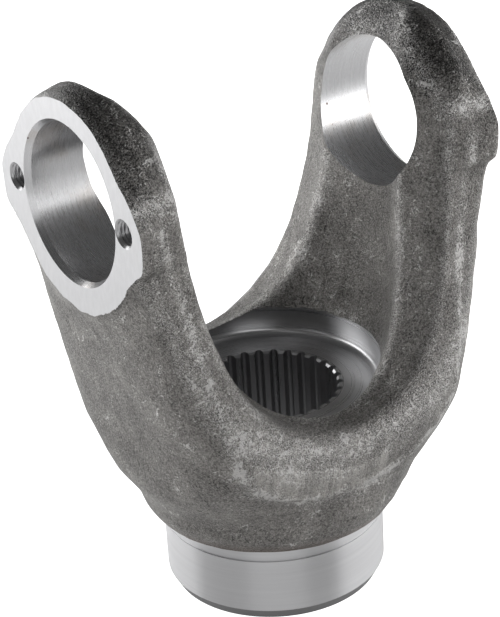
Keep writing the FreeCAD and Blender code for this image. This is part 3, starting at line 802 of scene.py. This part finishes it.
def machined(colours, name, tone, roughness, stretch, depth, radial=False, streak=0.12,
             specks=0.0, spread=0.0, stain=0.0):
    """Bare machined steel: tool marks stretched along the cut, or round the axis where radial,
    streaks in the gloss, brown specks and stains, and gloss that spreads across grinding marks."""
    _, tree, shader, place = new_material(name)
    if radial:
        flat = node(tree, "VectorMath", {0: place, 1: (1.0, 1.0, 0.0)}, operation="MULTIPLY")
        reach = node(tree, "VectorMath", {0: flat.outputs[0]}, operation="LENGTH")
        height = node(tree, "SeparateXYZ", {0: place}).outputs[2]
        place = node(tree, "CombineXYZ", {0: reach.outputs["Value"], 1: height}).outputs[0]
    marks = placed_group(tree, "Tool Marks", {"Vector": place, "Stretch": stretch})
    steel = tuple(c * tone for c in colours.steel)
    colour = blend(tree, marks["Streaks"], solid(steel, 0.93), solid(steel))
    if stain:
        cloud = ramp(tree, noise(tree, place, 38.0, 4.0, 0.6), 0.5, 0.7)
        colour = blend(tree, times(tree, cloud, stain), colour, solid(colours.stain))
    if specks:
        spots = placed_group(tree, "Specks", {"Vector": place, "Scale": 420.0, "Amount": specks})
        colour = blend(tree, spots["Mask"], colour, solid(colours.speck))
    gloss = ramp(tree, marks["Height"], 0.3, 0.7, roughness - streak * 0.5,
                 roughness + streak * 0.5)
    feed(tree, shader, {"Base Color": colour, "Roughness": gloss, "Metallic": 1.0,
                        "Anisotropic": spread, "Anisotropic Rotation": 0.25,
                        "Normal": bumped(tree, marks["Height"], depth)})


def floor_paper(colours):
    """Pale studio floor with a faint tooth. It shines by itself where the camera looks at it, and
    lights the part more from the far side than from the near one."""
    material, tree, shader, place = new_material("floor_paper")
    seen = node(tree, "LightPath", {}).outputs["Is Camera Ray"]
    reach = node(tree, "VectorMath", {0: place, 1: (-0.35, 0.94, 0.0)}, operation="DOT_PRODUCT")
    far = ramp(tree, reach.outputs["Value"], -0.4, 0.3, colours.near_glow, colours.far_glow)
    paper = blend(tree, noise(tree, place, 35.0, 3.0), solid(colours.floor, 0.985),
                  solid(colours.floor))
    feed(tree, shader, {"Base Color": paper, "Roughness": 0.85,
                        "Emission Color": (1.0, 1.0, 1.0, 1.0),
                        "Emission Strength": plus(tree, times(tree, seen, colours.floor_glow),
                                                  far)})
    return material


# ------------ settings


def size_setting(name, description, default):
    return FloatProperty(name=name, description=description, default=default, unit="LENGTH",
                         precision=5)


class YokeSizes(bpy.types.PropertyGroup):
    """Sizes of the forging and its machining."""
    pad_half_span: size_setting("Pad Half Span", "Middle of the fork to a milled pad", 0.0815)
    bore_height: size_setting("Bore Height", "Hub end face to the bearing bores' axis", 0.1848)
    bore_radius: size_setting("Bore Radius", "Radius of the bearing bores", 0.03)
    hub_radius: size_setting("Hub Radius", "Radius of the ground hub", 0.04524)
    edge_round: size_setting("Edge Round", "Rounding width of the outer edges", 0.0032)
    rim_round: size_setting("Rim Round", "Rounding width of the throat's rim", 0.0065)
    ridge_round: size_setting("Ridge Round", "Rounding width of the pocket's edge", 0.0026)
    flash_height: size_setting("Flash Height", "How far the trimmed flash stands proud", 0.0007)
    land_height: size_setting("Land Height", "How far the sheared land stands proud", 0.0008)
    dent_depth: size_setting("Dent Depth", "Broad unevenness of the forged skin", 0.00016)
    grain_depth: size_setting("Grain Depth", "Small unevenness of the forged skin", 0.00009)
    skin_step: size_setting("Skin Step", "Size of the skin's faces", 0.0015)
    spline_spaces: IntProperty(
        name="Spline Spaces", description="Number of tooth spaces", default=30)


def colour_setting(name, description, default):
    return FloatVectorProperty(name=name, description=description, subtype="COLOR",
                               default=default, min=0, max=1)


def glow_setting(name, description, default):
    return FloatProperty(name=name, description=description, default=default, min=0)


class YokeColours(bpy.types.PropertyGroup):
    """Colours of the finishes, of the floor, and the strength of the lights."""
    scale_dark: colour_setting("Dark Scale", "Forge scale at its darkest",
                               (0.022, 0.021, 0.0195))
    scale_light: colour_setting("Light Scale", "Forge scale at its lightest",
                                (0.47, 0.452, 0.428))
    # Also the colour of the painted glints, a painted highlight
    rubbed: colour_setting("Rubbed Metal", "Metal where the scale is rubbed off",
                           (0.88, 0.87, 0.86))
    rust: colour_setting("Rust", "Rust under the collar", (0.10, 0.065, 0.045))
    steel: colour_setting("Machined Steel", "Bare machined steel", (0.66, 0.66, 0.67))
    stain: colour_setting("Stain", "Brown stains in the bores", (0.36, 0.26, 0.16))
    speck: colour_setting("Speck", "Brown specks on machined steel", (0.09, 0.05, 0.03))
    floor: colour_setting("Floor", "Studio floor", (0.93, 0.93, 0.93))
    floor_glow: glow_setting("Floor Glow", "Brightness of the lit floor by itself", 0.9)
    near_glow: glow_setting("Near Glow", "Light from the floor on the near side", 0.1)
    far_glow: glow_setting("Far Glow", "Light from the floor on the far side", 0.5)
    side_light: FloatProperty(
        name="Side Light", description="Power of a soft light beside the part",
        default=9.5, unit="POWER")
    room_light: glow_setting("Room Light", "Brightness of the room", 0.08)


def shape_sizes(sizes):
    """The settings' sizes in millimetres, under the short names that the shapes use."""
    names = {"axis": "bore_height", "pad": "pad_half_span", "bore": "bore_radius",
             "hub": "hub_radius", "edge": "edge_round", "rim": "rim_round",
             "ridge": "ridge_round", "flash": "flash_height", "land": "land_height",
             "dents": "dent_depth", "grain": "grain_depth"}
    s = {short: getattr(sizes, name) / MM for short, name in names.items()}
    s["bolt"] = s["bore"] + BOLT_GAP
    return s


# ------------ operators


class YOKE_OT_finishes(bpy.types.Operator):
    """Make the materials and the node groups that they share"""
    bl_idname = "yoke.finishes"
    bl_label = "Make Finishes"

    def execute(self, context):
        colours = context.scene.yoke_colours
        tool_marks_group()
        specks_group()
        forge_scale_group()
        forged_skin(colours)
        for name, values in MACHINED.items():
            machined(colours, name, **values)
        return {"FINISHED"}


class YOKE_OT_forging(bpy.types.Operator):
    """Make the forging and machine it: pads, bores, bolt holes, counterbore, spline and hub"""
    bl_idname = "yoke.forging"
    bl_label = "Make Yoke"

    def execute(self, context):
        sizes = context.scene.yoke_sizes
        s = shape_sizes(sizes)
        finishes = [bpy.data.materials[name] for name in FINISHES]
        points, quads = forging_mesh(s, sizes.skin_step / MM)
        yoke = mesh_object("yoke_forging", points, quads.tolist(), finishes, 0)
        cut(yoke, [mesh_object(name, *made, finishes, FINISHES.index(finish))
                   for name, made, finish in self.cutters(s, sizes.spline_spaces)])
        self.mark_skin(yoke.data, s)
        yoke.data.shade_smooth()
        yoke.data.set_sharp_from_angle(angle=SHARP)
        sharpen_borders(yoke.data)
        if signed_volume(yoke.data) <= 0:
            raise RuntimeError("the yoke's faces point inwards")
        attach(yoke, "root")
        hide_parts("yoke")
        return {"FINISHED"}

    def cutters(self, s, spaces):
        """Each cutter's name, its points and faces in millimetres, and the finish it leaves."""
        pad, bore, axis, hub = s["pad"], s["bore"], s["axis"], s["hub"]
        for n, sign in enumerate((1, -1)):
            near, far = sign * pad, sign * (pad + PAST)
            mill = [(near, PIN), (near, MILL_RADIUS), (far, MILL_RADIUS), (far, PIN)]
            yield "mill%d" % n, turned(mill, 64, "X", axis), "milled_pad"
        half = [(pad - LEAD_DEEP, bore), (pad, bore + LEAD_ACROSS),
                (pad + PAST, bore + LEAD_ACROSS), (pad + PAST, PIN)]
        ream = [(-run, radius) for run, radius in half[::-1]] + half
        yield "ream", turned(ream, 128, "X", axis), "reamed_bore"
        for n, (side, sign) in enumerate(((1, 1), (1, -1), (-1, 1), (-1, -1))):
            tap, faces = threaded(28, 6)
            tap = tap * (side, 1, 1) + (side * pad, sign * s["bolt"], axis)
            yield "tap%d" % n, (tap, faces), "tapped_thread"
        corner = rounded((SEAT_FLOOR, SEAT_RADIUS), (0.0, -1.0), (1.0, 0.0), SEAT_FILLET, 7)
        seat = [(SEAT_FLOOR, PIN)] + corner + [(SEAT_END, SEAT_RADIUS), (SEAT_END, PIN)]
        yield "seat", turned(seat, 128), "turned_seat"
        mouth = SPLINE_MINOR + SPLINE_CHAMFER
        end = SEAT_FLOOR + 1.0
        bored = [(BORE_START, PIN), (BORE_START, mouth), (0.0, mouth),
                 (SPLINE_CHAMFER, SPLINE_MINOR), (SEAT_FLOOR - SPLINE_CHAMFER, SPLINE_MINOR),
                 (SEAT_FLOOR, mouth), (end, mouth), (end, PIN)]
        yield "bore", turned(bored, 120), "cut_spline"
        yield "broach", splined(spaces, BROACH_START, end), "cut_spline"
        face = [(FACE_START, PIN), (FACE_START, OUTER), (0.0, OUTER), (0.0, PIN)]
        yield "face", turned(face, 144), "ground_hub"
        sloped = [(CHAMFER_START, hub - CHAMFER_INSET), (CHAMFER_TOP, hub), (CHAMFER_TOP, OUTER),
                  (CHAMFER_START, OUTER)]
        yield "chamfer", turned_ring(sloped, 144), "hub_chamfer"
        low, step = CHAMFER_TOP - OVERLAP, hub - HUB_STEP
        straight = [(low, hub), (GROUND_TOP, hub), (GROUND_TOP + OVERLAP, step),
                    (HUB_TOP - NECK_HEIGHT, step), (HUB_TOP, hub + NECK_REACH), (HUB_TOP, OUTER),
                    (low, OUTER)]
        yield "turn", turned_ring(straight, 144), "ground_hub"

    def mark_skin(self, mesh, s):
        """Masks of the wear on the edges, where two of the bounding forms meet and at the bosses'
        upper corners, which the skin shows lighter from wear and from painted highlight and with
        painted glints; of the flash line; and of the sheared land."""
        x, y, z = corner_places(mesh).T.astype(float) / MM
        outside, side, throat, pocket, flash, land = forging_gaps(x, y, z, s)
        second = np.sort(np.stack([outside, side, -throat, -pocket]), axis=0)[-2]
        width = WORN_WIDTH + WORN_WIDER * low_share(z)
        wear_and_highlight = np.clip(1.0 + second / width, 0.0, 1.0) ** WORN_POWER
        boss = bell(z - s["axis"] - SHOULDER, CORNER_WIDTH)
        boss = boss * fade(np.abs(y) - CORNER_FROM, CORNER_RUN)
        face = fade(s["axis"] + MARK_TOP - z, MARK_FADE)
        face = fade(np.abs(y) - MARK_FROM, MARK_RUN) * face
        masks = {"wear_and_highlight": np.maximum(wear_and_highlight, boss), "flash": bell(flash, MARK_WIDTH) * face,
                 "land": land_share(x, flash, land) * face}
        for name, values in masks.items():
            made = mesh.attributes.new(name, "FLOAT", "POINT")
            made.data.foreach_set("value", values.astype(np.float32))


def placed(right, up, back, place):
    """Matrix with the three directions as its columns and the place as its last."""
    table = np.eye(4)
    table[:3, 0], table[:3, 1], table[:3, 2], table[:3, 3] = right, up, back, place
    return Matrix(table.tolist())


def camera_matrix():
    """Place of the camera: its right, up and back directions from its azimuth, elevation and
    roll, and the point at its distance back from its target."""
    a, e, r = CAMERA_AZIMUTH, CAMERA_ELEVATION, CAMERA_ROLL
    back = np.array([math.sin(a) * math.cos(e), -math.cos(a) * math.cos(e), math.sin(e)])
    right = np.array([math.cos(a), math.sin(a), 0.0])
    up = np.cross(back, right)
    return placed(math.cos(r) * right + math.sin(r) * up, math.cos(r) * up - math.sin(r) * right,
                  back, np.array(CAMERA_TARGET) + CAMERA_DISTANCE * back)


def soft_light(name, place, width, height, power):
    """Rectangular soft light that faces the lit point."""
    light = bpy.data.lights.new(name, "AREA")
    light.shape = "RECTANGLE"
    light.size, light.size_y, light.energy = width, height, power
    made = bpy.data.objects.new(name, light)
    back = np.subtract(place, LIT_POINT)
    back /= np.linalg.norm(back)
    right = np.cross((0.0, 0.0, 1.0), back)
    right /= np.linalg.norm(right)
    made.matrix_world = placed(right, np.cross(back, right), back, place)
    bpy.context.scene.collection.objects.link(made)


class YOKE_OT_studio(bpy.types.Operator):
    """Make the floor, the soft lights and the camera"""
    bl_idname = "yoke.studio"
    bl_label = "Make Studio"

    def execute(self, context):
        scene, colours = context.scene, context.scene.yoke_colours
        side = np.linspace(-FLOOR_HALF, FLOOR_HALF, FLOOR_CELLS + 1)
        x, y = np.meshgrid(side, side, indexing="ij")
        points = np.stack([x, y, np.zeros_like(x)], axis=-1).reshape(-1, 3)
        r, c = np.meshgrid(np.arange(FLOOR_CELLS), np.arange(FLOOR_CELLS), indexing="ij")
        row = FLOOR_CELLS + 1
        start = (r * row + c).reshape(-1)
        faces = np.stack([start, start + row, start + row + 1, start + 1], axis=1)
        floor = mesh_object("floor", points, faces.tolist(), [floor_paper(colours)], 0)
        camera = bpy.data.objects.new("camera", bpy.data.cameras.new("camera"))
        camera.data.sensor_fit, camera.data.sensor_height = "VERTICAL", SENSOR
        camera.data.lens = FOCAL_PIXELS / PHOTO_HEIGHT * SENSOR
        camera.matrix_world = camera_matrix()
        scene.collection.objects.link(camera)
        scene.camera = camera
        for name, place, width, height, share in LIGHTS:
            soft_light(name, place, width, height, colours.side_light * share)
        scene.world = bpy.data.worlds.new("room")
        scene.world.use_nodes = True
        room = scene.world.node_tree.nodes["Background"].inputs
        room["Color"].default_value = (1.0, 1.0, 1.0, 1.0)
        room["Strength"].default_value = colours.room_light
        scene.view_settings.view_transform = "Standard"
        return {"FINISHED"}


class YOKE_PT_panel(bpy.types.Panel):
    """Sizes, colours and the steps that make the yoke"""
    bl_idname = "YOKE_PT_panel"
    bl_label = "Yoke"
    bl_space_type = "VIEW_3D"
    bl_region_type = "UI"
    bl_category = "Yoke"

    def draw(self, context):
        layout = self.layout
        for settings in (context.scene.yoke_sizes, context.scene.yoke_colours):
            box = layout.box()
            for name in settings.__annotations__:
                box.prop(settings, name)
        for step in OPERATORS:
            layout.operator(step.bl_idname)


OPERATORS = (YOKE_OT_finishes, YOKE_OT_forging, YOKE_OT_studio)
CLASSES = (YokeSizes, YokeColours) + OPERATORS + (YOKE_PT_panel,)


def register():
    for item in CLASSES:
        bpy.utils.register_class(item)
    bpy.types.Scene.yoke_sizes = PointerProperty(type=YokeSizes)
    bpy.types.Scene.yoke_colours = PointerProperty(type=YokeColours)


def unregister():
    del bpy.types.Scene.yoke_colours
    del bpy.types.Scene.yoke_sizes
    for item in reversed(CLASSES):
        bpy.utils.unregister_class(item)


def main():
    register()
    bpy.ops.yoke.finishes()
    bpy.ops.yoke.forging()
    bpy.ops.yoke.studio()


if __name__ == "__main__":
    main()
